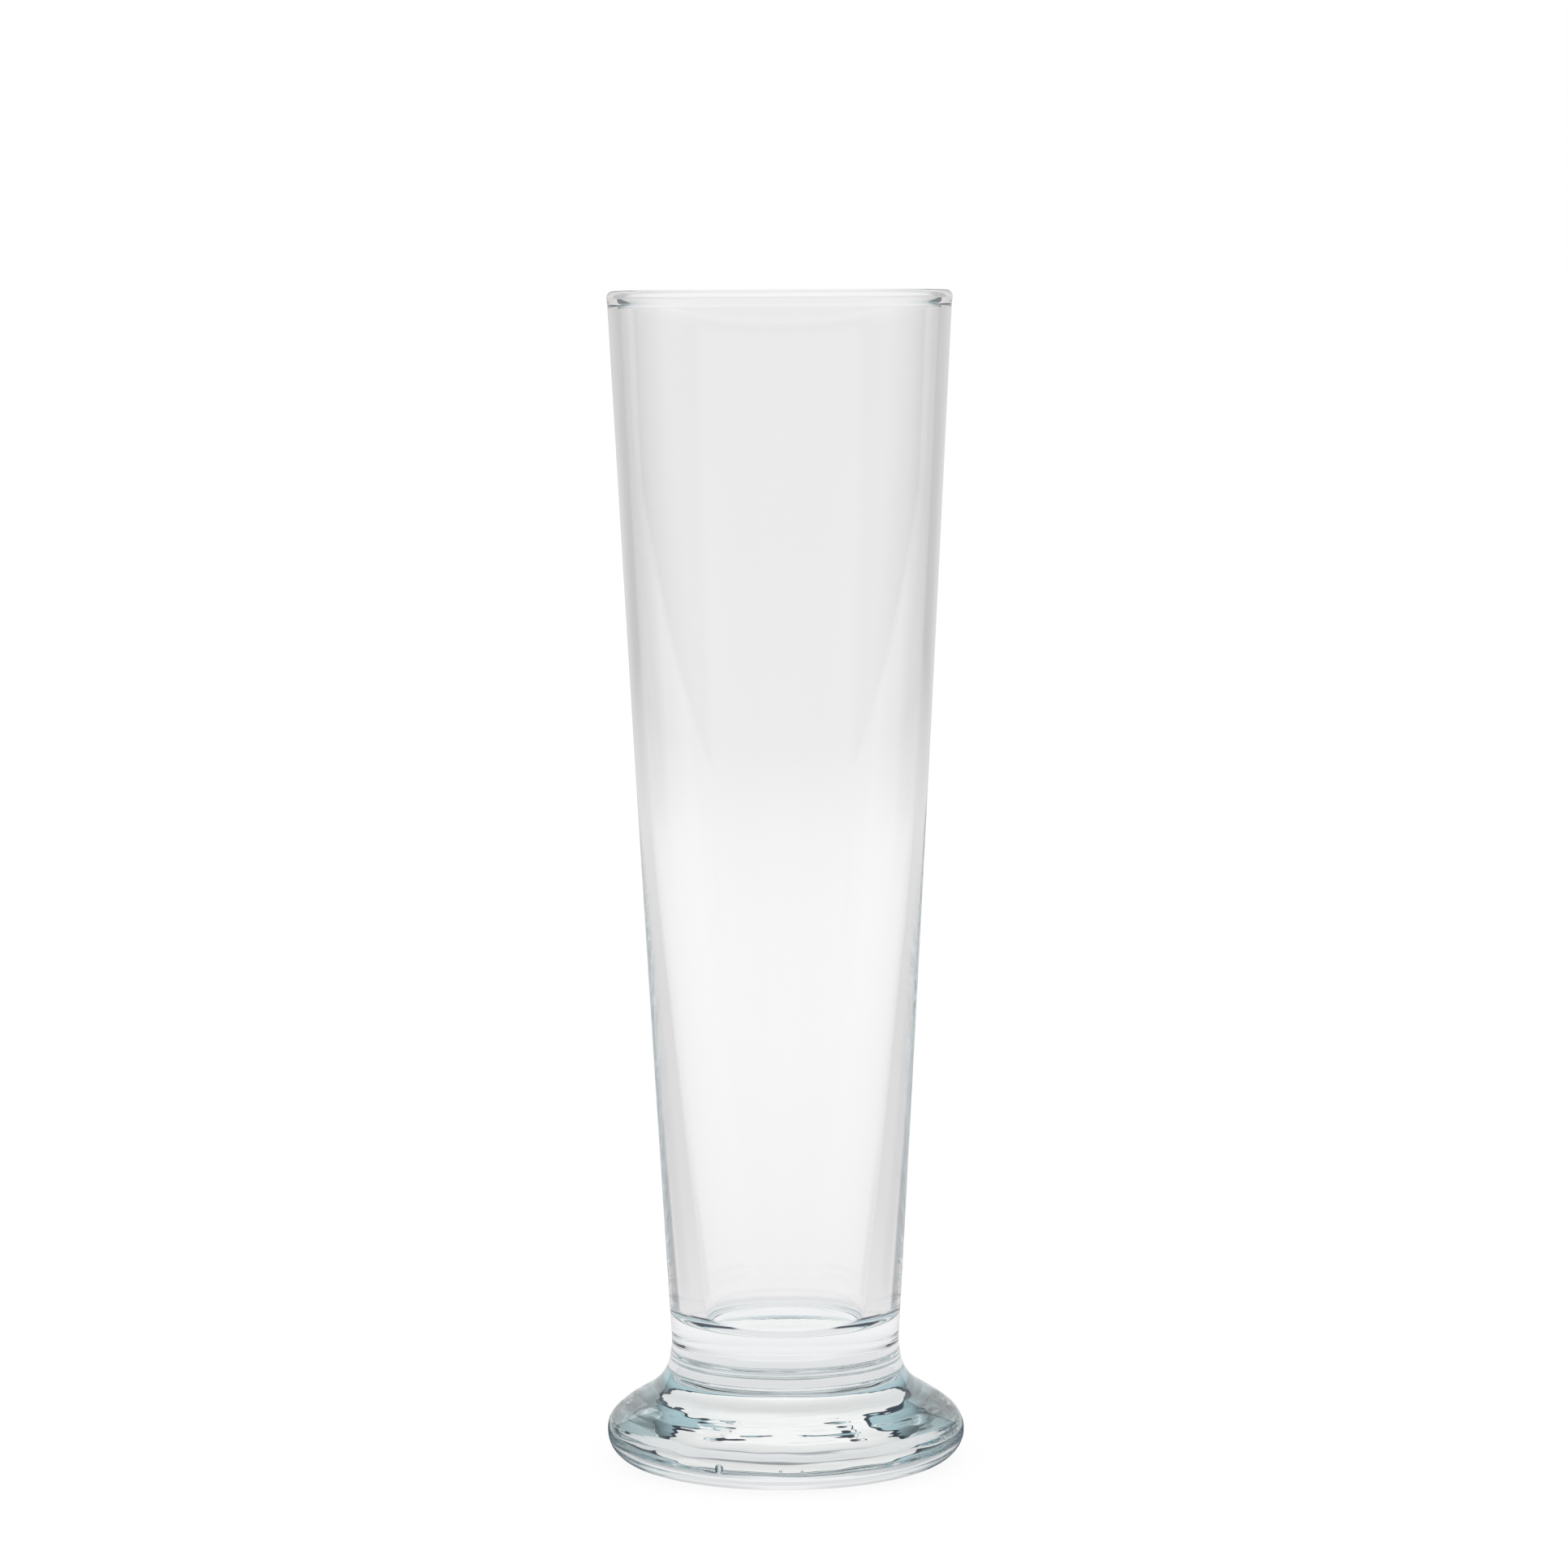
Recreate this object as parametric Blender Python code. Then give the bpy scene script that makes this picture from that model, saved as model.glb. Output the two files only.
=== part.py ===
"""A footed beer glass: a tall blown bowl, hot-fused to a pressed solid foot.

Units are metres and +Z is up. The origin is on the table, under the middle of the foot.
Both pieces are bodies of revolution, so each is one profile of (radius, height) points, spun.
"""

import math

import bmesh
import bpy

# Driving dimensions of the foot, with heights measured from the table
FOOT_RADIUS = 0.0351  # at its widest line
FOOT_WIDEST_HEIGHT = 0.0055
FOOT_HEIGHT = 0.0180  # up to the face that is fused to the bowl
FOOT_EDGE_TUCK = 0.0061  # how far the rounded lower edge draws in, to the flat base

# Driving dimensions of the flare, which runs from the foot's shoulder up to the neck
NECK_RADIUS = 0.0224
NECK_HEIGHT = 0.0253
FLARE_REACH = 0.0050  # outwards from the neck to where the curve turns over
FLARE_DROP = 0.0118  # downwards from the neck to the same place
FLARE_SLOPE = math.radians(31.4)  # of the surface there, from level
SHOULDER_PULL = (0.35, 0.41)
FLARE_PULL = (0.42, 0.37)

# Driving dimensions of the bowl
HEIGHT = 0.2290  # of the whole glass
RIM_RADIUS = 0.0334  # of the wall's outside, carried up to the rim
WALL = 0.0023  # thickness in the upper half
WALL_BULGE = 0.0002  # outwards at mid-height, from a straight taper
BEND_HEIGHT = 0.1140  # middle of the bend below which the inside draws in and the wall thickens
BEND_LENGTH = 0.0300
INSIDE_TAPER = 0.1078  # inside radius lost for each unit of depth, below the bend
FLOOR_THICKNESS = 0.0083  # from the fused face to the lowest point of the inside
FLOOR_FILLET = 0.0035
FLOOR_DISH = 0.2000  # radius to which the inside floor is dished
BEAD_SWELL = 0.00027  # how far the melted rim stands out on each side of the wall

# Clearance between the two fused faces
FUSE_GAP = 0.0003

# Facets around the axis, and along each stretch of a profile
SEGMENTS = 64
EDGE_STEPS = 5
SHOULDER_STEPS = 7
FLARE_STEPS = 9
WALL_STEPS = 16
BEAD_STEPS = 10
FILLET_STEPS = 5
DISH_STEPS = 5
LEAST_STEP = 0.0002
MERGE_DISTANCE = 0.000001
SHARP_ANGLE = math.radians(35)

# Glass: nearly clear in the thin bowl, faintly sea-green through the thick foot
BOWL_COLOUR = (0.94, 0.95, 0.95, 1.0)
FOOT_COLOUR = (0.86, 0.93, 0.93, 1.0)
GLASS_ROUGHNESS = 0.02
GLASS_IOR = 1.52

# Places that follow from the driving dimensions
JOINT_FACE = FOOT_HEIGHT + FUSE_GAP
FLOOR_HEIGHT = JOINT_FACE + FLOOR_THICKNESS
BASE_RADIUS = FOOT_RADIUS - FOOT_EDGE_TUCK
BEAD_RADIUS = WALL / 2 + BEAD_SWELL
BEAD_HEIGHT = HEIGHT - BEAD_RADIUS


def arc(centre, radius, start, end, steps):
    """Points on a circle or, where radius is a pair, on an upright ellipse. Both ends are included."""
    across, up = radius if isinstance(radius, tuple) else (radius, radius)
    angles = [start + (end - start) * step / steps for step in range(steps + 1)]
    return [(centre[0] + across * math.cos(a), centre[1] + up * math.sin(a)) for a in angles]


def easing_curve(start, start_heading, end, end_heading, pull, steps):
    """A cubic curve between two points that leaves and arrives on the given headings.

    A heading is an angle from the outward radius, and pull sets each handle as a share of the chord.
    """
    chord = math.dist(start, end)
    leave = (
        start[0] + pull[0] * chord * math.cos(start_heading),
        start[1] + pull[0] * chord * math.sin(start_heading),
    )
    arrive = (
        end[0] - pull[1] * chord * math.cos(end_heading),
        end[1] - pull[1] * chord * math.sin(end_heading),
    )
    points = []
    for step in range(steps + 1):
        t = step / steps
        weights = ((1 - t) ** 3, 3 * t * (1 - t) ** 2, 3 * t**2 * (1 - t), t**3)
        corners = (start, leave, arrive, end)
        points.append(tuple(sum(w * c[axis] for w, c in zip(weights, corners)) for axis in (0, 1)))
    return points


def wall_radius(height):
    """Outside radius of the bowl's wall: a straight taper with a slight outward bulge."""
    share = (height - NECK_HEIGHT) / (HEIGHT - NECK_HEIGHT)
    taper = NECK_RADIUS + (RIM_RADIUS - NECK_RADIUS) * share
    return taper + 4 * WALL_BULGE * share * (1 - share)


def wall_lean(height):
    """How far the wall leans out from upright at a height, as an angle."""
    share = (height - NECK_HEIGHT) / (HEIGHT - NECK_HEIGHT)
    rise = RIM_RADIUS - NECK_RADIUS + 4 * WALL_BULGE * (1 - 2 * share)
    return math.atan(rise / (HEIGHT - NECK_HEIGHT))


def inside_radius(height):
    """Inside radius of the bowl's wall: an even wall down to the bend, and a steeper straight taper below."""
    half_bend = BEND_LENGTH / 2
    if height > BEND_HEIGHT + half_bend:
        return wall_radius(height) - WALL
    if height < BEND_HEIGHT - half_bend:
        return wall_radius(BEND_HEIGHT) - WALL - INSIDE_TAPER * (BEND_HEIGHT - height)
    slope = math.tan(wall_lean(BEND_HEIGHT))
    depth = BEND_HEIGHT + half_bend - height
    straight_on = wall_radius(BEND_HEIGHT + half_bend) - WALL - slope * depth
    return straight_on - (INSIDE_TAPER - slope) * depth**2 / (2 * BEND_LENGTH)


def inside_bottom():
    """The fillet at the bottom of the inside wall, and the dished floor from there to the axis.

    The fillet's centre is where a line beside the wall meets a circle inside the dish, both one fillet away.
    """
    lean = math.atan(INSIDE_TAPER)
    dish_centre = FLOOR_HEIGHT + FLOOR_DISH
    beside_wall = inside_radius(0) - FLOOR_FILLET / math.cos(lean)
    inside_dish = FLOOR_DISH - FLOOR_FILLET
    square = 1 + INSIDE_TAPER**2
    middle = (dish_centre - INSIDE_TAPER * beside_wall) / square
    apart = middle**2 - (beside_wall**2 + dish_centre**2 - inside_dish**2) / square
    height = middle - math.sqrt(apart)
    centre = (beside_wall + INSIDE_TAPER * height, height)
    meeting = math.atan2(height - dish_centre, centre[0])
    fillet = arc(centre, FLOOR_FILLET, -lean, meeting, FILLET_STEPS)
    dish = arc((0, dish_centre), FLOOR_DISH, meeting, -math.pi / 2, DISH_STEPS)
    return fillet + dish[1:]


def outside_profile():
    """The glass's whole outside, from the edge of the base up to the start of the rim bead."""
    edge_centre = (BASE_RADIUS, FOOT_WIDEST_HEIGHT)
    edge = arc(edge_centre, (FOOT_EDGE_TUCK, FOOT_WIDEST_HEIGHT), -math.pi / 2, 0, EDGE_STEPS)

    widest = (FOOT_RADIUS, FOOT_WIDEST_HEIGHT)
    turnover = (NECK_RADIUS + FLARE_REACH, NECK_HEIGHT - FLARE_DROP)
    neck = (NECK_RADIUS, NECK_HEIGHT)
    inward = math.pi - FLARE_SLOPE
    up_the_wall = math.pi / 2 - wall_lean(NECK_HEIGHT)
    shoulder = easing_curve(widest, math.pi / 2, turnover, inward, SHOULDER_PULL, SHOULDER_STEPS)
    flare = easing_curve(turnover, inward, neck, up_the_wall, FLARE_PULL, FLARE_STEPS)

    climb = BEAD_HEIGHT - BEAD_RADIUS - NECK_HEIGHT
    heights = [NECK_HEIGHT + climb * step / WALL_STEPS for step in range(1, WALL_STEPS + 1)]
    wall = [(wall_radius(height), height) for height in heights]
    return edge + shoulder[1:] + flare[1:] + wall


def below(profile, height):
    """The part of a rising profile under a height, ended by a point at that height."""
    kept = [point for point in profile if point[1] < height - LEAST_STEP]
    return kept + [radius_at(profile, height)]


def above(profile, height):
    """The part of a rising profile over a height, started by a point at that height."""
    kept = [point for point in profile if point[1] > height + LEAST_STEP]
    return [radius_at(profile, height)] + kept


def radius_at(profile, height):
    """The point of a rising profile at a height."""
    for low, high in zip(profile, profile[1:]):
        if low[1] <= height <= high[1]:
            share = (height - low[1]) / (high[1] - low[1])
            return (low[0] + (high[0] - low[0]) * share, height)
    raise ValueError("the profile doesn't reach this height")


def foot_profile():
    """From the axis across the base, up over the foot's outside, and back across the fused face."""
    return [(0, 0)] + below(outside_profile(), FOOT_HEIGHT) + [(0, FOOT_HEIGHT)]


def bowl_profile():
    """From the fused face up the outside, over the rim bead, and down the inside to the floor."""
    bead_centre = (wall_radius(BEAD_HEIGHT) - WALL / 2, BEAD_HEIGHT)
    bead_start = math.acos(WALL / 2 / BEAD_RADIUS)
    bead = arc(bead_centre, BEAD_RADIUS, -bead_start, math.pi + bead_start, BEAD_STEPS)

    bottom = inside_bottom()
    wall_top = BEAD_HEIGHT - BEAD_RADIUS
    climb = wall_top - bottom[0][1]
    heights = [wall_top - climb * step / WALL_STEPS for step in range(WALL_STEPS)]
    inside = [(inside_radius(height), height) for height in heights]
    outside = above(outside_profile(), JOINT_FACE)
    return [(0, JOINT_FACE)] + outside + bead + inside + bottom


def glass_material(name, colour):
    material = bpy.data.materials.new(name)
    material.use_nodes = True
    shader = material.node_tree.nodes["Principled BSDF"]
    shader.inputs["Base Color"].default_value = colour
    shader.inputs["Metallic"].default_value = 0.0
    shader.inputs["Roughness"].default_value = GLASS_ROUGHNESS
    shader.inputs["IOR"].default_value = GLASS_IOR
    shader.inputs["Transmission Weight"].default_value = 1.0
    return material


def turned_piece(name, profile, seat_height, material, parent):
    """Spin a profile about the axis into a closed solid whose origin is at its seat."""
    shape = bmesh.new()
    points = [shape.verts.new((radius, 0, height - seat_height)) for radius, height in profile]
    edges = [shape.edges.new(pair) for pair in zip(points, points[1:])]
    bmesh.ops.spin(
        shape,
        geom=points + edges,
        cent=(0, 0, 0),
        axis=(0, 0, 1),
        angle=2 * math.pi,
        steps=SEGMENTS,
        use_merge=True,
    )
    bmesh.ops.remove_doubles(shape, verts=shape.verts, dist=MERGE_DISTANCE)
    bmesh.ops.recalc_face_normals(shape, faces=shape.faces)

    mesh = bpy.data.meshes.new(name)
    shape.to_mesh(mesh)
    shape.free()
    mesh.shade_smooth()
    mesh.set_sharp_from_angle(angle=SHARP_ANGLE)
    mesh.materials.append(material)

    piece = bpy.data.objects.new(name, mesh)
    piece.location.z = seat_height
    piece.parent = parent
    bpy.context.collection.objects.link(piece)
    return piece


for old in list(bpy.data.objects):
    bpy.data.objects.remove(old, do_unlink=True)

table_centre = bpy.data.objects.new("table_centre", None)
bpy.context.collection.objects.link(table_centre)

foot_glass = glass_material("foot_glass", FOOT_COLOUR)
bowl_glass = glass_material("bowl_glass", BOWL_COLOUR)
turned_piece("foot", foot_profile(), 0.0, foot_glass, table_centre)
turned_piece("bowl", bowl_profile(), JOINT_FACE, bowl_glass, table_centre)
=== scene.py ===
"""Looks of the footed beer glass: fine meshes of its two pieces, their glass, and a studio that is plain
white to the camera, with painted light and shade on the floor that the glass shows.
"""

import math

import bpy
from mathutils import Matrix, Vector, noise


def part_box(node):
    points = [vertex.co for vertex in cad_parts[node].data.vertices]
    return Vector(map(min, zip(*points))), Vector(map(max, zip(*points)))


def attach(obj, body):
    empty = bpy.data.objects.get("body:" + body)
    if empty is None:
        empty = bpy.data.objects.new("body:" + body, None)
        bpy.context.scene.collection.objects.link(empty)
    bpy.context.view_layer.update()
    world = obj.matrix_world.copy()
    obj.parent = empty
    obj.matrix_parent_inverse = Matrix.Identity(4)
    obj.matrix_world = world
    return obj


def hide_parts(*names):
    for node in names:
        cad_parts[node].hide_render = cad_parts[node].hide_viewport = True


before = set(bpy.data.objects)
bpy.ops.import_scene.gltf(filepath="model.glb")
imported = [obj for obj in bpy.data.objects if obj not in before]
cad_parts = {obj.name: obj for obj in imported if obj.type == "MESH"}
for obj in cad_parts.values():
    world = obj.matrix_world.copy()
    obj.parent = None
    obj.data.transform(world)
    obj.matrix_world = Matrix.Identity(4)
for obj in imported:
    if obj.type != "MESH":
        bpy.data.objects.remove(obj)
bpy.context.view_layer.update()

# Sizes read from the frame, in metres as all sizes here
foot_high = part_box("foot")[1]
bowl_low, bowl_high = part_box("bowl")
FOOT_RADIUS = foot_high.x
HEIGHT = bowl_high.z
JOINT_HEIGHT = (foot_high.z + bowl_low.z) / 2

# Sizes of the solids that the frame's boxes don't give
FOOT_WIDEST_HEIGHT = 0.0055
FOOT_EDGE_TUCK = 0.0061
BASE_RADIUS = FOOT_RADIUS - FOOT_EDGE_TUCK
NECK_RADIUS = 0.0224
NECK_HEIGHT = 0.0253
FLARE_REACH = 0.0050
FLARE_DROP = 0.0118
FLARE_SLOPE = math.radians(31.4)
SHOULDER_PULL = (0.35, 0.41)
FLARE_PULL = (0.42, 0.37)
RIM_RADIUS = 0.0334
WALL = 0.0023
WALL_BULGE = 0.0002
BEND_HEIGHT = 0.1140
BEND_LENGTH = 0.0300
INSIDE_TAPER = 0.1078
FLOOR_HEIGHT = 0.0266
FLOOR_FILLET = 0.0035
FLOOR_DISH = 0.2000

# Melted rim
BEAD_DEPTH = 0.0042
BEAD_MIDDLE = 0.0014
BEAD_FADE = 0.0017
BEAD_SWELL_OUT = 0.00009
BEAD_SWELL_IN = 0.00030
RIM_THICKENING = 0.0002
RIM_ZONE = 0.040

# Base and fused joint
BASE_HOLLOW = 0.00015
SEAM = 0.00001
JOINT_CLEAR = 0.0001

# Unevenness of the pressed foot: size, bumps round the axis, length up the side, and the pattern's shift
RIPPLE = (0.000016, 3.0, 0.0007, (0.0, 0.0))
WAVE = (0.000045, 2.2, 0.0020, (0.0, 5.0))
SWELL = (0.000115, 5.0, 0.0045, (7.0, 0.0))
UNEVEN_FROM = 0.0006
UNEVEN_RISE = 0.0030
UNEVEN_TO = 0.0240
UNEVEN_FADE = 0.0060
NECK_SMOOTH_FROM = 0.0135
NECK_SMOOTH_OVER = 0.0020
NECK_SHARE = 0.2

# Rings round the neck, as a height and a depth: a groove at the fused joint and a ridge above it
RING_WIDTH = 0.0006
RING_SPACING = 0.0029
NECK_RINGS = [(JOINT_HEIGHT, 0.00006), (JOINT_HEIGHT + RING_SPACING, -0.00012)]

# Streaks up the blown inside
STREAK = 0.000008
STREAK_SCALE = 7.0
STREAK_LENGTH = 0.080

# Air seeds low in the foot: centre, radius, and height for width
SEEDS = [
    ((-0.0125, -0.0304, 0.0046), 0.00085, 1.1),
    ((-0.0010, -0.0325, 0.0046), 0.00030, 0.8),
    ((0.0030, -0.0324, 0.0045), 0.00028, 0.8),
    ((0.0185, -0.0272, 0.0046), 0.00022, 1.0),
]

# Steps of the meshes
SEGMENTS = 192
BASE_STEPS = 24
EDGE_STEPS = 24
SHOULDER_STEPS = 72
FLARE_STEPS = 80
JOINT_STEPS = 6
WALL_STEPS = 80
BEAD_STEPS = 16
RIM_STEPS = 20
FILLET_STEPS = 24
DISH_STEPS = 20
SEED_SIDES = 20
SEED_RINGS = 12
ON_AXIS = 1e-9
SHARP_ANGLE = math.radians(40)

# Glass
GLASS_IOR = 1.52
GLASS_ABSORBS = (0.0, 0.60, 0.68, 1)
GLASS_DENSITY = 0.8
CLOUD_DETAIL = 3.0
HAZE_FROM = 0.45
HAZE_FULL = 0.75

# Backdrop, as rays that come straight through the glass see it: levels by how far it lies to the side
WHITE = (1.0, 1.0, 1.0)
WARM = (1.0, 0.985, 0.992)
FAR_LEVEL = 0.915
SIDE_FALL = [
    (0.0, 1.0), (0.08, 1.0), (0.13, 0.93), (0.18, 0.88), (0.22, 0.84), (0.30, 0.79), (0.45, 0.73),
    (0.73, 0.68), (1.0, 0.74), (1.6, 1.0), (2.0, 1.0),
]
LEAST_AHEAD = 0.001
BACKWARD_PULL = -2.0

# Panel behind the glass, as reflections see it: sizes for a distance of 1, and levels by rise
PANEL_WIDTH = 0.66
PANEL_HEIGHT = 1.40
PANEL_CHAMFER = 1.30
CHAMFER_SLOPE = 1.40
PANEL_LEVELS = [(0.0, 0.72), (0.05, 0.74), (0.27, 0.83), (0.47, 0.90), (0.62, 1.0), (1.0, 1.0)]
PANEL_TINT = (1.0, 0.98, 0.97)
PANEL_SHARE = [(0.0, 1), (1.0, 1), (1.015, 0), (2.0, 0)]
BORDER_END = 1.09
BORDER_SOFTNESS = 0.03
PAST_BORDER = [(0.0, 0), (BORDER_END, 0), (BORDER_END + BORDER_SOFTNESS, 1), (2.0, 1)]
BORDER_COLOUR = (0.02, 0.022, 0.04)

# Room, as reflections see it: levels by height, and shares from the front, at -1, to behind the glass, at 1
ROOM_LEVELS = [(0.0, 0.05), (0.10, 0.10), (0.22, 0.26), (0.34, 0.48), (0.48, 0.58), (1.0, 0.60)]
ROOM_TINT = (0.84, 1.0, 1.04)
COOL_TINT = (0.72, 0.99, 1.06)
COOL_SHARE = [(-1, 0), (0.0, 0), (0.25, 1), (1, 1)]
FRONT_LEVELS = [(0.0, 0.54), (0.09, 0.42), (0.19, 0.04), (0.46, 0.03), (0.57, 0.95), (1.0, 0.95)]
FRONT_TINT = (0.97, 1.0, 1.02)
FRONT_SHARE = [(-1, 1), (-0.5, 1), (-0.35, 0), (1, 0)]

# Floor: levels by distance from the axis, straight through the glass and in reflections; these levels are
# painted light and shade on a floor that the camera sees white
FLOOR_REACH = 20.0
FLOOR_SIDES = 96
FLOOR_DROP = 0.0001
# Painted pool of light through the glass: bright under the foot and from about 0.4 m out, with painted
# shade in a ring just outside the foot, and dimmer far away
PAINTED_LIGHT_THROUGH_GLASS = [
    (0.0, 1.0), (0.038, 1.0), (0.046, 0.80), (0.055, 0.80), (0.070, 0.90), (0.128, 0.92), (0.160, 0.94),
    (0.190, 0.96), (0.222, 0.97), (0.26, 0.98), (0.325, 0.99), (0.405, 1.0), (0.64, 1.0), (0.77, 0.99),
    (0.98, 0.98), (1.19, 0.96), (1.5, FAR_LEVEL), (3.0, FAR_LEVEL),
]
# Floor in reflections: painted light levels, with painted shade just outside the foot
BOUNCED = [
    (0.0, 0.84), (0.034, 0.80), (0.045, 0.72), (0.07, 0.82), (0.15, 0.74), (0.31, 0.73),
    (0.9, 0.76), (1.4, 0.82), (3.0, 0.84),
]
# Share of the painted falloff of light to the side, from none near the glass to full far out
FAR_SHARE = [(0.0, 0), (0.9, 0), (1.5, 1), (3.0, 1)]
# Painted shade: the floor in reflections is darker in front of the glass
SHADE_TOWARD_FRONT = [(-3.0, 0.64), (-1.2, 0.64), (-0.3, 1.0), (3.0, 1.0)]
NEAR_AXIS = 0.0001
MATTE_COLOUR = (0.12, 0.12, 0.12, 1)
WHITE_GLOW = 0.90

# Painted shadow of the foot on the floor, seen only in reflections: shares by direction, from front at -1
# to behind at 1, and by distance
SHADOW_COLOUR = (0.04, 0.055, 0.08)
SIDE_SHADOW = (
    [(-1, 0), (-0.60, 0), (-0.45, 1), (0.70, 1), (0.85, 0), (1, 0)],
    [(0, 0), (0.026, 0), (0.029, 1), (0.060, 1), (0.075, 0), (0.1, 0)],
)
FRONT_SHADOW = (
    [(-1, 1), (-0.60, 1), (-0.45, 0), (1, 0)],
    [(0, 0), (0.035, 0), (0.038, 1), (0.045, 1), (0.050, 0), (0.2, 0)],
)
BACK_SHADOW = (
    [(-1, 0), (0.955, 0), (0.985, 1), (1, 1)],
    [(0, 0), (0.075, 0), (0.09, 0.6), (0.20, 0.6), (0.30, 0), (0.5, 0)],
)

# Camera, with its focal length in pixels of the square image
IMAGE_SIZE = 1932
FOCAL_PIXELS = 6353
SENSOR_WIDTH = 36.0
CAMERA_PLACE = (0, -1.0, 0.2342)
CAMERA_PITCH = math.radians(5.771)
CAMERA_ROLL = math.radians(-0.32)
CAMERA_YAW = math.radians(-0.02)
CLIP_START = 0.05
CLIP_END = 50

# Light paths
LIGHT_BOUNCES = 128
CLEAR_BOUNCES = 32


def arc(centre, radius, start, end, steps):
    """Points on a circle or, where radius is a pair, on an upright ellipse."""
    across, up = radius if isinstance(radius, tuple) else (radius, radius)
    angles = [start + (end - start) * step / steps for step in range(steps + 1)]
    return [(centre[0] + across * math.cos(a), centre[1] + up * math.sin(a)) for a in angles]


def easing_curve(start, start_heading, end, end_heading, pull, steps):
    """A cubic curve between two points that leaves and arrives on the given headings."""
    chord = math.dist(start, end)
    leave = (
        start[0] + pull[0] * chord * math.cos(start_heading),
        start[1] + pull[0] * chord * math.sin(start_heading),
    )
    arrive = (
        end[0] - pull[1] * chord * math.cos(end_heading),
        end[1] - pull[1] * chord * math.sin(end_heading),
    )
    corners = (start, leave, arrive, end)
    points = []
    for step in range(steps + 1):
        t = step / steps
        weights = ((1 - t) ** 3, 3 * t * (1 - t) ** 2, 3 * t**2 * (1 - t), t**3)
        points.append(tuple(sum(w * c[axis] for w, c in zip(weights, corners)) for axis in (0, 1)))
    return points


def straight(start, end, steps):
    return [tuple(a + (b - a) * i / steps for a, b in zip(start, end)) for i in range(steps + 1)]


def smooth_step(share):
    share = min(max(share, 0.0), 1.0)
    return share * share * (3 - 2 * share)


def wall_radius(height):
    share = (height - NECK_HEIGHT) / (HEIGHT - NECK_HEIGHT)
    taper = NECK_RADIUS + (RIM_RADIUS - NECK_RADIUS) * share
    return taper + 4 * WALL_BULGE * share * (1 - share)


def wall_lean(height):
    share = (height - NECK_HEIGHT) / (HEIGHT - NECK_HEIGHT)
    rise = RIM_RADIUS - NECK_RADIUS + 4 * WALL_BULGE * (1 - 2 * share)
    return math.atan(rise / (HEIGHT - NECK_HEIGHT))


def inside_radius(height):
    """The bowl's inside: an even wall down to the bend, and a steeper straight taper below."""
    half_bend = BEND_LENGTH / 2
    if height > BEND_HEIGHT + half_bend:
        near_rim = smooth_step((height - HEIGHT + RIM_ZONE) / RIM_ZONE)
        return wall_radius(height) - WALL - RIM_THICKENING * near_rim
    if height < BEND_HEIGHT - half_bend:
        return wall_radius(BEND_HEIGHT) - WALL - INSIDE_TAPER * (BEND_HEIGHT - height)
    slope = math.tan(wall_lean(BEND_HEIGHT))
    depth = BEND_HEIGHT + half_bend - height
    straight_on = wall_radius(BEND_HEIGHT + half_bend) - WALL - slope * depth
    return straight_on - (INSIDE_TAPER - slope) * depth**2 / (2 * BEND_LENGTH)


def inside_bottom():
    """The fillet at the bottom of the inside wall, and the dished floor from there to the axis."""
    lean = math.atan(INSIDE_TAPER)
    dish_centre = FLOOR_HEIGHT + FLOOR_DISH
    beside_wall = inside_radius(0) - FLOOR_FILLET / math.cos(lean)
    inside_dish = FLOOR_DISH - FLOOR_FILLET
    square = 1 + INSIDE_TAPER**2
    middle = (dish_centre - INSIDE_TAPER * beside_wall) / square
    apart = middle**2 - (beside_wall**2 + dish_centre**2 - inside_dish**2) / square
    height = middle - math.sqrt(apart)
    centre = (beside_wall + INSIDE_TAPER * height, height)
    meeting = math.atan2(height - dish_centre, centre[0])
    fillet = arc(centre, FLOOR_FILLET, -lean, meeting, FILLET_STEPS)
    dish = arc((0, dish_centre), FLOOR_DISH, meeting, -math.pi / 2, DISH_STEPS)
    return fillet + dish[1:-1] + [(0, FLOOR_HEIGHT)]


def foot_outside():
    """The outside from the edge of the base up to the neck."""
    edge_centre = (BASE_RADIUS, FOOT_WIDEST_HEIGHT)
    edge = arc(edge_centre, (FOOT_EDGE_TUCK, FOOT_WIDEST_HEIGHT), -math.pi / 2, 0, EDGE_STEPS)
    widest = (FOOT_RADIUS, FOOT_WIDEST_HEIGHT)
    turnover = (NECK_RADIUS + FLARE_REACH, NECK_HEIGHT - FLARE_DROP)
    neck = (NECK_RADIUS, NECK_HEIGHT)
    inward = math.pi - FLARE_SLOPE
    up_the_wall = math.pi / 2 - wall_lean(NECK_HEIGHT)
    shoulder = easing_curve(widest, math.pi / 2, turnover, inward, SHOULDER_PULL, SHOULDER_STEPS)
    flare = easing_curve(turnover, inward, neck, up_the_wall, FLARE_PULL, FLARE_STEPS)
    return edge + shoulder[1:] + flare[1:]


OUTSIDE = foot_outside()


def outside_at(height):
    """The point of the outside at a height between the base and the neck."""
    for low, high in zip(OUTSIDE, OUTSIDE[1:]):
        if low[1] <= height <= high[1]:
            share = (height - low[1]) / (high[1] - low[1])
            return (low[0] + (high[0] - low[0]) * share, height)


def foot_profile():
    """The base and the outside, and then the face that is fused to the bowl."""
    radii = [radius for radius, _ in straight((0, 0), (BASE_RADIUS, 0), BASE_STEPS)[:-1]]
    base = [(radius, BASE_HOLLOW * (1 - (radius / BASE_RADIUS) ** 2)) for radius in radii]
    top = JOINT_HEIGHT - SEAM
    rising = [point for point in OUTSIDE if point[1] < top - JOINT_CLEAR] + [outside_at(top)]
    return base + rising, straight(rising[-1], (0, top), JOINT_STEPS)[1:]


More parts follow.
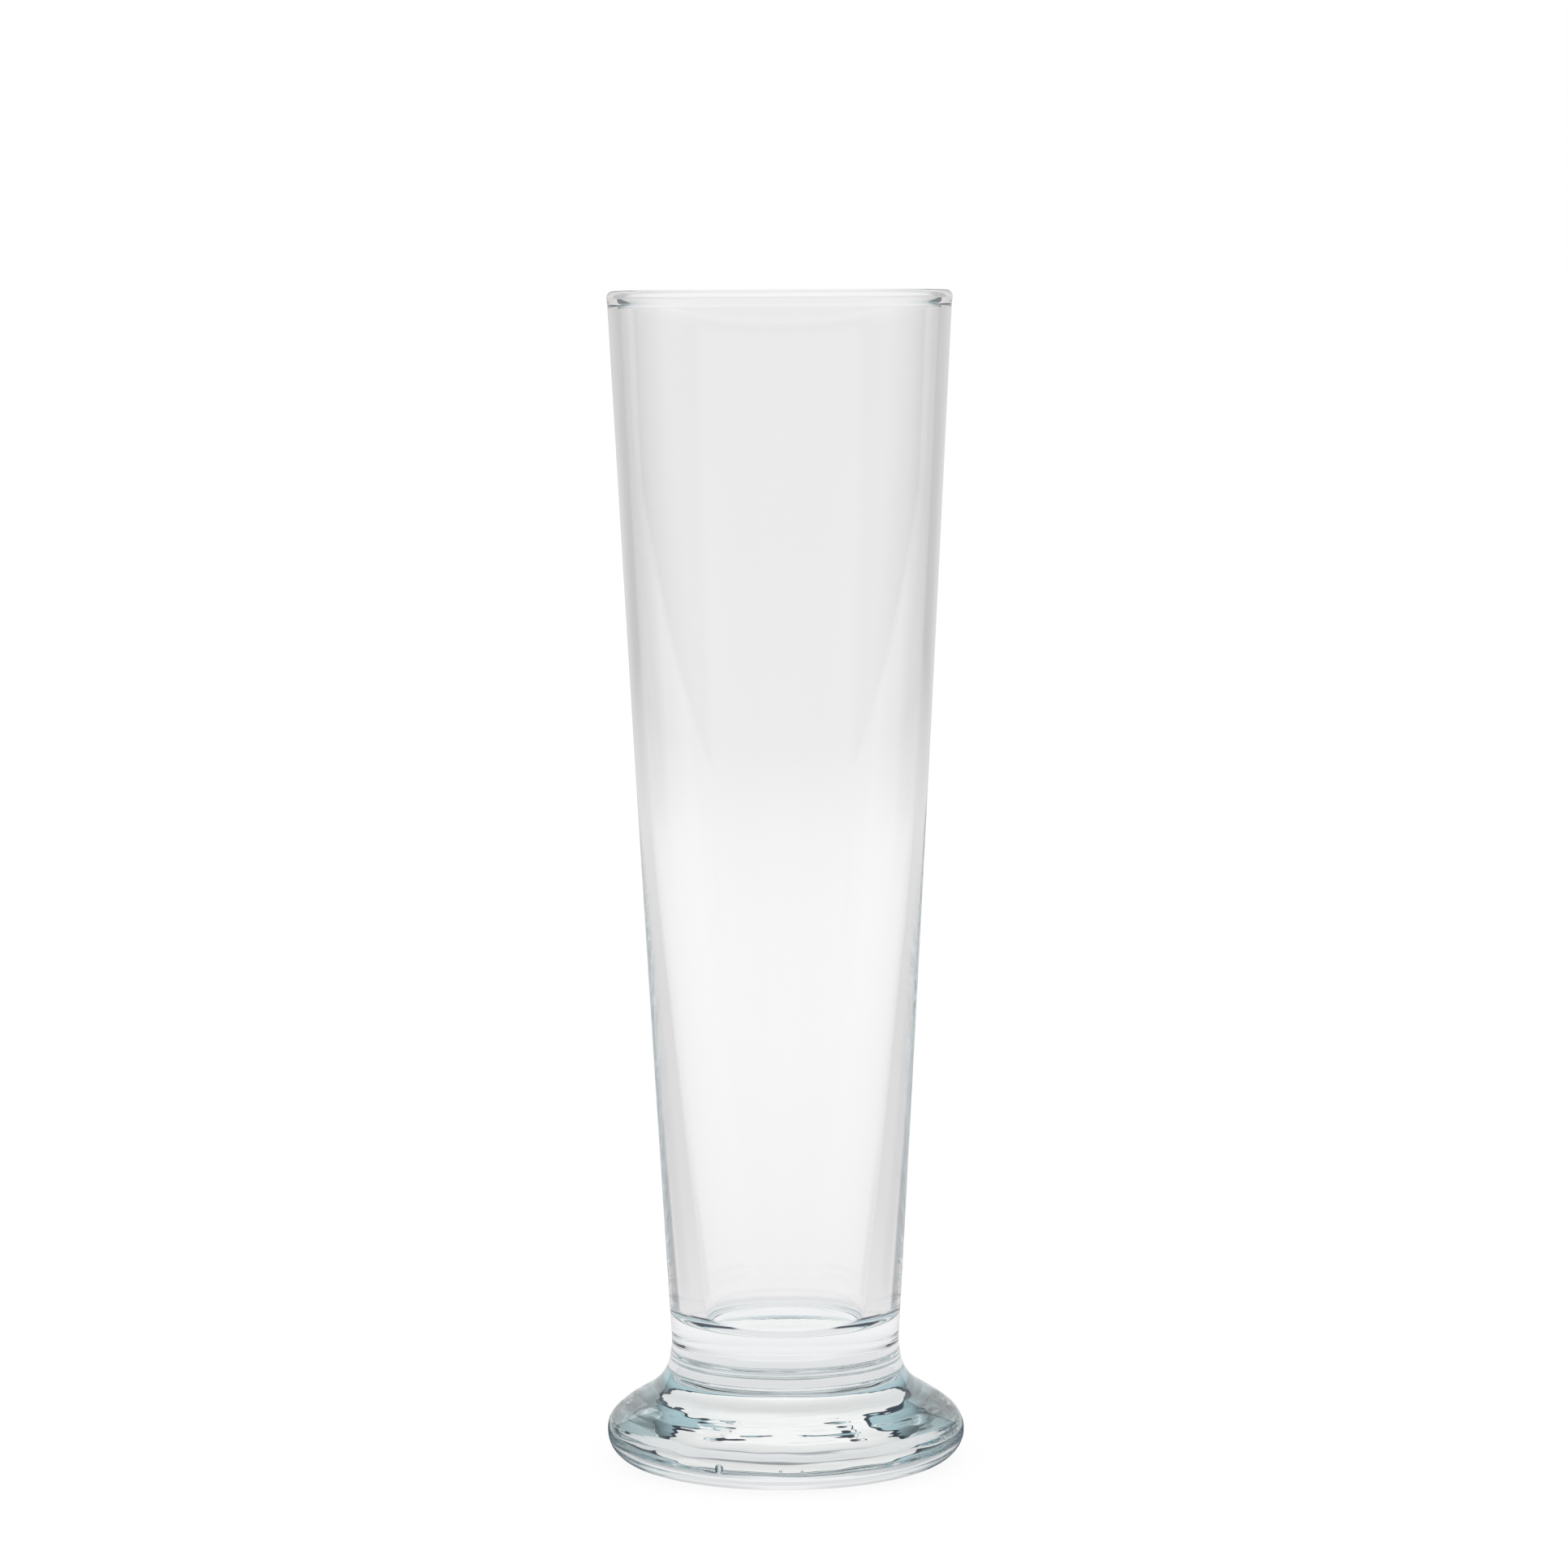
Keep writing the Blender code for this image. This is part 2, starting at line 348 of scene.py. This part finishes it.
def bead_sides(depth):
    """The outside and inside radius at a depth under the rim, with the melted bead on the wall."""
    swell = 1 - smooth_step((depth - BEAD_MIDDLE) / BEAD_FADE)
    outer = wall_radius(HEIGHT - depth) + BEAD_SWELL_OUT * swell
    inner = inside_radius(HEIGHT - depth) - BEAD_SWELL_IN * swell
    if depth < BEAD_MIDDLE:
        middle = (outer + inner) / 2
        half = (outer - inner) / 2 * math.sqrt(1 - (1 - depth / BEAD_MIDDLE) ** 2)
        return middle + half, middle - half
    return outer, inner


def bowl_profile():
    """The face that is fused to the foot, and then the outside, the rim and the inside."""
    bottom = JOINT_HEIGHT + SEAM
    rising = [outside_at(bottom)] + [point for point in OUTSIDE if point[1] > bottom + JOINT_CLEAR]
    joint = straight((0, bottom), rising[0], JOINT_STEPS)[:-1]

    top = HEIGHT - BEAD_DEPTH
    wall = [(wall_radius(z), z) for _, z in straight((0, NECK_HEIGHT), (0, top), WALL_STEPS)[1:]]
    depths = [BEAD_DEPTH + (BEAD_MIDDLE - BEAD_DEPTH) * i / BEAD_STEPS for i in range(1, BEAD_STEPS)]
    depths += [BEAD_MIDDLE * (1 - math.sin(math.pi / 2 * i / RIM_STEPS)) for i in range(RIM_STEPS + 1)]
    out_bead = [(bead_sides(depth)[0], HEIGHT - depth) for depth in depths]
    in_bead = [(bead_sides(depth)[1], HEIGHT - depth) for depth in depths]
    in_bead.reverse()

    floor = inside_bottom()
    inside = [(inside_radius(z), z) for _, z in straight((0, top), (0, floor[0][1]), WALL_STEPS)[:-1]]
    return joint, rising + wall + out_bead + in_bead[1:] + inside + floor


def runs_up_outside():
    """Heights of the outside's points, each with its distance along it from the edge of the base."""
    runs = []
    total = 0.0
    for low, high in zip([OUTSIDE[0]] + OUTSIDE, OUTSIDE):
        total += math.dist(low, high)
        runs.append((high[1], total))
    return runs


RUNS = runs_up_outside()


def along_at(height):
    """Distance along the outside from the edge of the base up to a height."""
    for (low, first), (high, second) in zip(RUNS, RUNS[1:]):
        if low <= height <= high:
            return first + (second - first) * (height - low) / (high - low)
    return RUNS[-1][1] if height > RUNS[-1][0] else 0.0


def outside_unevenness(angle, height):
    """How far the pressed foot's surface stands out from its true shape."""
    fade = smooth_step((height - UNEVEN_FROM) / UNEVEN_RISE)
    fade *= 1 - smooth_step((height - UNEVEN_TO) / UNEVEN_FADE)
    if fade == 0:
        return 0.0
    east, north = math.cos(angle), math.sin(angle)
    along = along_at(height)
    rough = 0.0
    for size, scale, length, shift in (RIPPLE, WAVE, SWELL):
        place = Vector((scale * east + shift[0], scale * north + shift[1], along / length))
        rough += size * noise.noise(place)
    rough *= 1 - (1 - NECK_SHARE) * smooth_step((height - NECK_SMOOTH_FROM) / NECK_SMOOTH_OVER)
    rings = sum(depth * math.exp(-(((height - ring) / RING_WIDTH) ** 2)) for ring, depth in NECK_RINGS)
    return fade * (rough - rings)


def inside_unevenness(angle, height):
    """How far the blown inside stands out from its true shape: faint streaks up the wall."""
    east, north = math.cos(angle), math.sin(angle)
    return STREAK * noise.noise(Vector((STREAK_SCALE * east, STREAK_SCALE * north, height / STREAK_LENGTH)))


def turned_points(profile, uneven):
    """Points of a profile turned round the axis, and the numbers of the points in each ring."""
    points = []
    rings = []
    for number, (radius, height) in enumerate(profile):
        if radius < ON_AXIS:
            rings.append([len(points)])
            points.append((0.0, 0.0, height))
            continue
        low = profile[max(number - 1, 0)]
        high = profile[min(number + 1, len(profile) - 1)]
        length = math.dist(low, high)
        out = ((high[1] - low[1]) / length, (low[0] - high[0]) / length)
        rings.append(list(range(len(points), len(points) + SEGMENTS)))
        for step in range(SEGMENTS):
            angle = 2 * math.pi * step / SEGMENTS
            lift = uneven(number, angle, height)
            r = min(radius + lift * out[0], FOOT_RADIUS)
            z = min(max(height + lift * out[1], 0.0), HEIGHT)
            points.append((r * math.cos(angle), r * math.sin(angle), z))
    return points, rings


def faces_between(low, high):
    """Faces between two rings: four-sided, or triangles where one ring is a point on the axis."""
    sides = max(len(low), len(high))
    faces = []
    for step in range(sides):
        after = (step + 1) % sides
        corners = [low[step % len(low)], low[after % len(low)]]
        corners += [high[after % len(high)], high[step % len(high)]]
        faces.append(list(dict.fromkeys(corners)))
    return faces


def seed_shell(centre, radius, squash, first):
    """A small bubble of air in the glass: its points, numbered from first, and its inward faces."""
    points = []
    rings = []
    for across, up in arc((0, 0), (radius, radius * squash), -math.pi / 2, math.pi / 2, SEED_RINGS):
        sides = 1 if across < ON_AXIS else SEED_SIDES
        rings.append([first + len(points) + side for side in range(sides)])
        for side in range(sides):
            angle = 2 * math.pi * side / SEED_SIDES
            offset = (across * math.cos(angle), across * math.sin(angle), up)
            points.append(tuple(middle + part for middle, part in zip(centre, offset)))
    faces = []
    for low, high in zip(rings, rings[1:]):
        faces += faces_between(high, low)
    return points, faces


def turned_mesh(name, profile, fused_rings, uneven, seeds):
    """A closed piece of revolution with its air seeds, and a mark on the faces fused to the other piece."""
    points, rings = turned_points(profile, uneven)
    faces = []
    fused = []
    for number, (low, high) in enumerate(zip(rings, rings[1:])):
        faces += faces_between(low, high)
        fused += [1.0 if number in fused_rings else 0.0] * SEGMENTS
    for centre, radius, squash in seeds:
        shell_points, shell_faces = seed_shell(centre, radius, squash, len(points))
        points += shell_points
        faces += shell_faces
        fused += [0.0] * len(shell_faces)
    mesh = bpy.data.meshes.new(name)
    mesh.from_pydata(points, [], faces)
    mark = mesh.attributes.new("fused", "FLOAT", "FACE")
    mark.data.foreach_set("value", fused)
    mesh.validate()
    mesh.shade_smooth()
    mesh.set_sharp_from_angle(angle=SHARP_ANGLE)
    piece = bpy.data.objects.new(name, mesh)
    bpy.context.scene.collection.objects.link(piece)
    return piece


class Shading:
    """Short ways to add nodes to one node tree."""

    def __init__(self, tree):
        self.nodes = tree.nodes
        self.links = tree.links
        self.nodes.clear()

    def node(self, kind, operation=None):
        node = self.nodes.new(kind)
        if operation:
            node.operation = operation
        return node

    def feed(self, socket, value):
        """Set a socket to a plain value or link it to another node's output."""
        if isinstance(value, (int, float)):
            socket.default_value = value
        elif isinstance(value, tuple):
            socket.default_value = value + (1,)
        else:
            self.links.new(value, socket)

    def math(self, operation, *values):
        node = self.node("ShaderNodeMath", operation)
        for socket, value in zip(node.inputs, values):
            self.feed(socket, value)
        return node.outputs["Value"]

    def split(self, vector):
        node = self.node("ShaderNodeSeparateXYZ")
        self.links.new(vector, node.inputs["Vector"])
        return node.outputs["X"], node.outputs["Y"], node.outputs["Z"]

    def ramp(self, value, stops):
        """A level read from a value through (value, level) stops, and constant beyond them."""
        low, high = stops[0][0], stops[-1][0]
        scaled = self.node("ShaderNodeMapRange")
        self.feed(scaled.inputs["Value"], value)
        scaled.inputs["From Min"].default_value = low
        scaled.inputs["From Max"].default_value = high
        curve_node = self.node("ShaderNodeFloatCurve")
        curve_node.mapping.use_clip = False
        curve = curve_node.mapping.curves[0]
        while len(curve.points) < len(stops):
            curve.points.new(0.5, 0.5)
        for point, (place, level) in zip(curve.points, stops):
            point.location = ((place - low) / (high - low), level)
            point.handle_type = "VECTOR"
        curve_node.mapping.update()
        self.links.new(scaled.outputs["Result"], curve_node.inputs["Value"])
        return curve_node.outputs["Value"]

    def blend(self, factor, first, second):
        """The first colour where the factor is 0, and the second where it is 1."""
        node = self.node("ShaderNodeMix")
        node.data_type = "RGBA"
        sockets = [socket for socket in node.inputs if socket.type == "RGBA"]
        self.feed(node.inputs["Factor"], factor)
        self.feed(sockets[0], first)
        self.feed(sockets[1], second)
        return next(socket for socket in node.outputs if socket.type == "RGBA")

    def tinted(self, level, tint):
        """A colour from a level that may pass 1, and a tint."""
        node = self.node("ShaderNodeCombineXYZ")
        for socket, part in zip(node.inputs, tint):
            self.links.new(self.math("MULTIPLY", level, part), socket)
        return node.outputs["Vector"]


def glass(name, tint, streaks, haze, relief):
    """Clear glass with faint colour streaks, a trace of uneven polish, and fine relief."""
    material = bpy.data.materials.new(name)
    material.use_nodes = True
    tree = Shading(material.node_tree)
    shader = tree.node("ShaderNodeBsdfPrincipled")
    shader.inputs["IOR"].default_value = GLASS_IOR
    shader.inputs["Transmission Weight"].default_value = 1.0

    place = tree.node("ShaderNodeTexCoord")
    stretch = tree.node("ShaderNodeMapping")
    stretch.inputs["Scale"].default_value = streaks
    tree.links.new(place.outputs["Object"], stretch.inputs["Vector"])
    cloud = tree.node("ShaderNodeTexNoise")
    cloud.inputs["Scale"].default_value = 1.0
    cloud.inputs["Detail"].default_value = CLOUD_DETAIL
    tree.links.new(stretch.outputs["Vector"], cloud.inputs["Vector"])
    level = cloud.outputs[0]
    tree.links.new(tree.blend(level, WHITE, tint), shader.inputs["Base Color"])
    polish = tree.ramp(level, [(0, 0), (HAZE_FROM, 0), (HAZE_FULL, haze), (1, haze)])
    tree.links.new(polish, shader.inputs["Roughness"])
    bump = tree.node("ShaderNodeBump")
    bump.inputs["Strength"].default_value = 1.0
    bump.inputs["Distance"].default_value = relief
    tree.links.new(level, bump.inputs["Height"])
    tree.links.new(bump.outputs["Normal"], shader.inputs["Normal"])

    mark = tree.node("ShaderNodeAttribute")
    mark.attribute_name = "fused"
    clear = tree.node("ShaderNodeBsdfTransparent")
    mix = tree.node("ShaderNodeMixShader")
    tree.links.new(mark.outputs["Fac"], mix.inputs["Fac"])
    tree.links.new(shader.outputs["BSDF"], mix.inputs[1])
    tree.links.new(clear.outputs["BSDF"], mix.inputs[2])
    volume = tree.node("ShaderNodeVolumeAbsorption")
    volume.inputs["Color"].default_value = GLASS_ABSORBS
    volume.inputs["Density"].default_value = GLASS_DENSITY
    output = tree.node("ShaderNodeOutputMaterial")
    tree.links.new(mix.outputs["Shader"], output.inputs["Surface"])
    tree.links.new(volume.outputs["Volume"], output.inputs["Volume"])
    return material


def to_the_side(tree, x, y, least):
    """How far a direction or a place lies to the side: 0 straight behind the glass, and large in front."""
    ahead = tree.math("MAXIMUM", y, least)
    backward = tree.math("MAXIMUM", tree.math("MULTIPLY", y, BACKWARD_PULL), 0.0)
    return tree.math("DIVIDE", tree.math("ADD", tree.math("ABSOLUTE", x), backward), ahead)


def reflected_room(tree, y, z, side):
    """What reflections see: a bordered white panel behind the glass, in a cool room, dark in front."""
    rise = tree.math("DIVIDE", z, tree.math("MAXIMUM", y, LEAST_AHEAD))
    across = tree.math("DIVIDE", side, PANEL_WIDTH)
    up = tree.math("DIVIDE", rise, PANEL_HEIGHT)
    corner = tree.math("DIVIDE", tree.math("MULTIPLY_ADD", side, CHAMFER_SLOPE, rise), PANEL_CHAMFER)
    edge = tree.math("MAXIMUM", tree.math("MAXIMUM", across, up), corner)
    level = tree.ramp(z, ROOM_LEVELS)
    cool = tree.ramp(y, COOL_SHARE)
    behind = tree.blend(cool, tree.tinted(level, ROOM_TINT), tree.tinted(level, COOL_TINT))
    front = tree.tinted(tree.ramp(z, FRONT_LEVELS), FRONT_TINT)
    room = tree.blend(tree.ramp(y, FRONT_SHARE), behind, front)
    room = tree.blend(tree.ramp(edge, PAST_BORDER), BORDER_COLOUR, room)
    panel = tree.tinted(tree.ramp(rise, PANEL_LEVELS), PANEL_TINT)
    return tree.blend(tree.ramp(edge, PANEL_SHARE), room, panel)


def make_world():
    """White to the camera and as light, a backdrop through the glass, and a room in reflections."""
    world = bpy.data.worlds.new("studio")
    bpy.context.scene.world = world
    world.use_nodes = True
    tree = Shading(world.node_tree)
    path = tree.node("ShaderNodeLightPath")
    x, y, z = tree.split(tree.node("ShaderNodeTexCoord").outputs["Generated"])
    side = to_the_side(tree, x, y, LEAST_AHEAD)
    backdrop = tree.tinted(tree.math("MULTIPLY", tree.ramp(side, SIDE_FALL), FAR_LEVEL), WARM)
    reflected = tree.math("GREATER_THAN", path.outputs["Glossy Depth"], 0.5)
    seen = tree.blend(reflected, backdrop, reflected_room(tree, y, z, side))
    seen = tree.blend(path.outputs["Is Camera Ray"], seen, WHITE)
    seen = tree.blend(path.outputs["Is Diffuse Ray"], seen, WHITE)
    light = tree.node("ShaderNodeBackground")
    tree.links.new(seen, light.inputs["Color"])
    output = tree.node("ShaderNodeOutputWorld")
    tree.links.new(light.outputs["Background"], output.inputs["Surface"])


def floor_in_glass(tree, path):
    """The floor's painted light and shade: a pool of light through the glass, and in reflections dimmer
    levels with the foot's painted shadow.
    """
    place = tree.node("ShaderNodeNewGeometry").outputs["Position"]
    x, y, _ = tree.split(place)
    length = tree.node("ShaderNodeVectorMath", "LENGTH")
    tree.links.new(place, length.inputs[0])
    reach = length.outputs["Value"]
    # Painted falloff of light: far from the axis the floor dims to the side as the backdrop does
    fall = tree.ramp(to_the_side(tree, x, y, NEAR_AXIS), SIDE_FALL)
    far = tree.ramp(reach, FAR_SHARE)
    dimmed = tree.math("MULTIPLY_ADD", far, tree.math("SUBTRACT", fall, 1.0), 1.0)
    # Painted pool of light and shade on the floor, as seen straight through the glass
    direct = tree.tinted(tree.math("MULTIPLY", tree.ramp(reach, PAINTED_LIGHT_THROUGH_GLASS), dimmed), WARM)
    # Painted shade: in reflections the floor darkens toward the front
    around = tree.math("MULTIPLY", dimmed, tree.ramp(y, SHADE_TOWARD_FRONT))
    bounced = tree.tinted(tree.math("MULTIPLY", tree.ramp(reach, BOUNCED), around), WARM)
    facing = tree.math("DIVIDE", y, tree.math("MAXIMUM", reach, NEAR_AXIS))
    shadow = 0.0
    for directions, distances in (SIDE_SHADOW, FRONT_SHADOW, BACK_SHADOW):
        share = tree.math("MULTIPLY", tree.ramp(facing, directions), tree.ramp(reach, distances))
        shadow = tree.math("ADD", shadow, share)
    # Painted shadow of the foot on the floor, seen only in reflections
    bounced = tree.blend(shadow, bounced, SHADOW_COLOUR)
    reflected = tree.math("GREATER_THAN", path.outputs["Glossy Depth"], 0.5)
    return tree.blend(reflected, direct, bounced)


def table_material():
    """White with the glass's shadow to the camera, and painted light and shade through the glass."""
    material = bpy.data.materials.new("table")
    material.use_nodes = True
    tree = Shading(material.node_tree)
    path = tree.node("ShaderNodeLightPath")
    glow = tree.node("ShaderNodeEmission")
    tree.links.new(floor_in_glass(tree, path), glow.inputs["Color"])
    matte = tree.node("ShaderNodeBsdfDiffuse")
    matte.inputs["Color"].default_value = MATTE_COLOUR
    white = tree.node("ShaderNodeEmission")
    white.inputs["Strength"].default_value = WHITE_GLOW
    both = tree.node("ShaderNodeAddShader")
    tree.links.new(matte.outputs["BSDF"], both.inputs[0])
    tree.links.new(white.outputs["Emission"], both.inputs[1])
    mix = tree.node("ShaderNodeMixShader")
    tree.links.new(path.outputs["Is Camera Ray"], mix.inputs["Fac"])
    tree.links.new(glow.outputs["Emission"], mix.inputs[1])
    tree.links.new(both.outputs["Shader"], mix.inputs[2])
    output = tree.node("ShaderNodeOutputMaterial")
    tree.links.new(mix.outputs["Shader"], output.inputs["Surface"])
    return material


def make_camera():
    """A long lens 1 m away, level with the rim and tilted down to the middle of the glass."""
    camera_data = bpy.data.cameras.new("camera")
    camera_data.sensor_width = SENSOR_WIDTH
    camera_data.lens = FOCAL_PIXELS / IMAGE_SIZE * SENSOR_WIDTH
    camera_data.clip_start = CLIP_START
    camera_data.clip_end = CLIP_END
    camera = bpy.data.objects.new("camera", camera_data)
    bpy.context.scene.collection.objects.link(camera)
    tilt = Matrix.Rotation(math.pi / 2 - CAMERA_PITCH, 4, "X")
    turn = Matrix.Rotation(CAMERA_YAW, 4, "Z") @ tilt @ Matrix.Rotation(CAMERA_ROLL, 4, "Z")
    camera.matrix_world = Matrix.Translation(CAMERA_PLACE) @ turn
    bpy.context.scene.camera = camera


# Studio
make_world()
floor_mesh = bpy.data.meshes.new("floor")
floor_edge = arc((0, 0), FLOOR_REACH, 0, 2 * math.pi, FLOOR_SIDES)[:-1]
floor_mesh.from_pydata([(x, y, -FLOOR_DROP) for x, y in floor_edge], [], [list(range(FLOOR_SIDES))])
floor_mesh.materials.append(table_material())
floor = bpy.data.objects.new("floor", floor_mesh)
bpy.context.scene.collection.objects.link(floor)

# Pieces
foot_sides, foot_joint = foot_profile()
bowl_joint, bowl_sides = bowl_profile()
rim_ring = len(bowl_joint) + max(range(len(bowl_sides)), key=lambda i: bowl_sides[i][1])


def foot_uneven(number, angle, height):
    if number >= len(foot_sides):
        return 0.0
    return outside_unevenness(angle, height)


def bowl_uneven(number, angle, height):
    if number < len(bowl_joint):
        return 0.0
    if number < rim_ring:
        return outside_unevenness(angle, height)
    return inside_unevenness(angle, height)


foot_rings = foot_sides + foot_joint
foot_fused = range(len(foot_sides) - 1, len(foot_rings))
foot = turned_mesh("glass_foot", foot_rings, foot_fused, foot_uneven, SEEDS)
bowl_fused = range(len(bowl_joint))
bowl = turned_mesh("glass_bowl", bowl_joint + bowl_sides, bowl_fused, bowl_uneven, [])
bowl.data.materials.append(
    glass("bowl_glass", tint=(0.992, 0.997, 0.996), streaks=(160, 160, 12), haze=0.004, relief=0.000002)
)
foot.data.materials.append(
    glass("foot_glass", tint=(0.985, 0.995, 0.996), streaks=(140, 140, 140), haze=0.006, relief=0.000004)
)
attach(bowl, "root")
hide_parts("bowl")
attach(foot, "root")
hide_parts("foot")

# Camera and settings
make_camera()
scene = bpy.context.scene
scene.view_settings.view_transform = "Standard"
scene.cycles.max_bounces = LIGHT_BOUNCES
scene.cycles.transmission_bounces = LIGHT_BOUNCES
scene.cycles.glossy_bounces = LIGHT_BOUNCES
scene.cycles.transparent_max_bounces = CLEAR_BOUNCES
